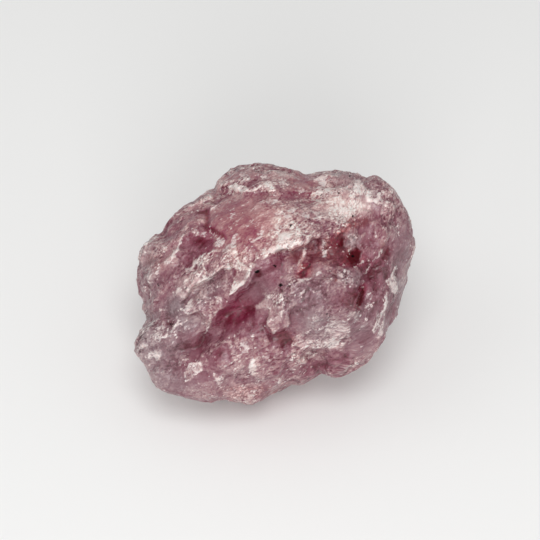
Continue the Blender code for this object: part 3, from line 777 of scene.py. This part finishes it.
# Broken pieces, each with three numbers of its own and a flat face with its own tilt
shades, faces = {}, {}
for name, width in PIECES.items():
    piece = add(tree, "ShaderNodeTexVoronoi", {
        "Vector": grain_at if name == "grit" else jitter_at.outputs[0], "Scale": 1 / width})
    shades[name] = add(tree, "ShaderNodeSeparateColor", {"Color": piece.outputs["Color"]}).outputs
    offset = add(tree, "ShaderNodeVectorMath", {
        0: grain_at, 1: piece.outputs["Position"]}, operation="SUBTRACT")
    tilt = add(tree, "ShaderNodeVectorMath", {
        0: piece.outputs["Color"], 1: (0.5, 0.5, 0.5)}, operation="SUBTRACT")
    faces[name] = add(tree, "ShaderNodeVectorMath", {
        0: offset.outputs[0], 1: tilt.outputs[0]}, operation="DOT_PRODUCT").outputs["Value"]
sugar = add(tree, "ShaderNodeTexNoise", {
    "Vector": grain_at, "Scale": 1 / SUGAR, "Detail": 2.0, "Roughness": 0.6}).outputs["Fac"]
coast = add(tree, "ShaderNodeTexNoise", {
    "Vector": grain_at, "Scale": 1 / TORN, "Detail": 6.0, "Roughness": 0.65}).outputs["Fac"]
torn = ranged(tree, coast, 0.50, 0.53, -0.5, 0.5, interpolation_type="SMOOTHSTEP")

# The tone: a slow part of clouds, plates and painted places, which hold painted light and shade as well as
# the stone's own tone, and a fine part of the small pieces
fine = weighted(tree, 0.0, [
    (0.09, 0.5, shades["shards"]["Red"]),
    (0.12, 0.5, shades["slivers"]["Red"]),
    (0.40, 0.5, shades["grit"]["Red"]),
    (0.08, 0.5, sugar),
    (0.14, 0.0, faces["shards"]),
    (0.38, 0.0, faces["slivers"]),
    (0.07, 0.0, torn),
    (0.03, 0.0, read["crest"]),
])
slow = weighted(tree, 0.5, [
    (0.56, 0.5, clouds.outputs["Fac"]),
    (0.13, 0.5, shades["plates"]["Red"]),
    (0.03, 0.0, faces["plates"]),
    # painted shade: darker in cracks and hollows, paler on ridges
    (0.07, 0.0, read["relief_shade"]),
    (0.06, 0.0, read["shade"]),
    (1.0, 0.0, read["tone_and_painted_light"]),
])

# Deep windows are smooth; pale parts, and some plates more than others, are crushed to sugar
deep = ranged(tree, slow, 0.25, 0.62, 0.5, 1.2)
crushed = ranged(tree, shades["plates"]["Green"], 0.0, 1.0, 0.5, 1.6)
sugary = math_node(tree, "MULTIPLY", math_node(tree, "MULTIPLY", crushed, read["lively"]), deep)
rose = add(tree, "ShaderNodeValToRGB", {"Fac": math_node(tree, "MULTIPLY_ADD", fine, sugary, slow)})
while len(rose.color_ramp.elements) < len(TONES):
    rose.color_ramp.elements.new(0.5)
for element, (place, colour) in zip(rose.color_ramp.elements, TONES):
    element.position = place
    element.color = linear(colour)

strength = math_node(tree, "MULTIPLY_ADD", read["grey"], -0.5, 1.0)
greyed = add(tree, "ShaderNodeHueSaturation", {"Color": rose.outputs["Color"], "Saturation": strength})
iron_part = ranged(tree, shades["slivers"]["Green"], 0.0, 1.0, 0.35)
iron_cut = ranged(tree, math_node(tree, "MULTIPLY", read["iron"], iron_part), 0.05, 0.55)
stained = add(tree, "ShaderNodeMix", {
    "Factor": iron_cut, 6: greyed.outputs[0], 7: linear(IRON_STAIN)},
    data_type="RGBA", blend_type="MULTIPLY")

# Crushed white grains gather on edges and in frosted places, with ragged borders, and tiny white specks are
# painted in as glints
# painted glints: a few tiny grit cells turned white in the colour
painted_glint = ranged(tree, shades["grit"]["Blue"], 0.90, 0.95)
whiteness = weighted(tree, -0.13, [
    (0.32, 0.0, slow),
    (0.17, 0.0, painted_glint),
    (0.42, 0.0, read["frost"]),
    (0.07, 0.0, read["crest"]),
    (0.14, 0.0, torn),
    (0.14, 0.0, shades["shards"]["Blue"]),
    (0.20, 0.0, shades["slivers"]["Blue"]),
    (0.24, 0.0, shades["grit"]["Blue"]),
    (0.10, 0.0, sugar),
])
frost_and_glint_cut = ranged(tree, whiteness, 0.56, 0.80, 0.0, 0.9, interpolation_type="SMOOTHSTEP")
sparkle = ranged(tree, shades["grit"]["Green"], 0.0, 1.0, 0.45)
frosted_and_glinting = add(tree, "ShaderNodeMix", {
    "Factor": math_node(tree, "MULTIPLY", frost_and_glint_cut, sparkle),
    6: stained.outputs[2], 7: linear(SUGAR_AND_GLINT_WHITE)}, data_type="RGBA")
speck_noise = math_node(tree, "MULTIPLY_ADD", sugar, 1.4, read["speck"])
speck_cut = ranged(tree, speck_noise, 1.15, 1.4, interpolation_type="SMOOTHSTEP")
specked = add(tree, "ShaderNodeMix", {
    "Factor": speck_cut, 6: frosted_and_glinting.outputs[2], 7: linear(DARK_SPECK)}, data_type="RGBA")
tree.links.new(specked.outputs[2], shader.inputs["Base Color"])

# Faces differ in gloss, and crushed grains are dull; specks and deep cracks give back little light
gloss = ranged(tree, shades["slivers"]["Green"], 0.0, 1.0, 0.2, 0.6)
dull = add(tree, "ShaderNodeMix", {"Factor": frost_and_glint_cut, 2: gloss, 3: 0.65})
tree.links.new(dull.outputs[0], shader.inputs["Roughness"])
shelter = ranged(tree, slow, 0.0, 0.12, 0.25)
for socket, most in (("Specular IOR Level", SPECULAR), ("Coat Weight", COAT)):
    shine = math_node(tree, "MULTIPLY", ranged(tree, speck_cut, 0.0, 1.0, most, SPECK_SHINE), shelter)
    tree.links.new(shine, shader.inputs[socket])

# The faces of the pieces as relief, with torn layers a little over one another
relief = weighted(tree, 0.0, [
    (0.50, 0.0, faces["plates"]),
    (0.60, 0.0, faces["shards"]),
    (0.60, 0.0, faces["slivers"]),
    (0.45, 0.0, faces["grit"]),
    (0.15, 0.0, torn),
    (0.15, 0.0, sugar),
])
bump = add(tree, "ShaderNodeBump", {"Strength": sugary, "Distance": BUMP_DEPTH, "Height": relief})
tree.links.new(bump.outputs["Normal"], shader.inputs["Normal"])

shader.inputs["IOR"].default_value = QUARTZ_IOR
shader.inputs["Subsurface Weight"].default_value = SCATTER_SHARE
shader.inputs["Subsurface Radius"].default_value = SCATTER_RADIUS
shader.inputs["Subsurface Scale"].default_value = SCATTER_DEPTH
shader.inputs["Coat Roughness"].default_value = COAT_ROUGHNESS

stone_mesh.materials.clear()
stone_mesh.materials.append(quartz)
stone = bpy.data.objects.new("rose_quartz_stone", stone_mesh)
bpy.context.collection.objects.link(stone)
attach(stone, "root")
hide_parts("rose_quartz_chunk")
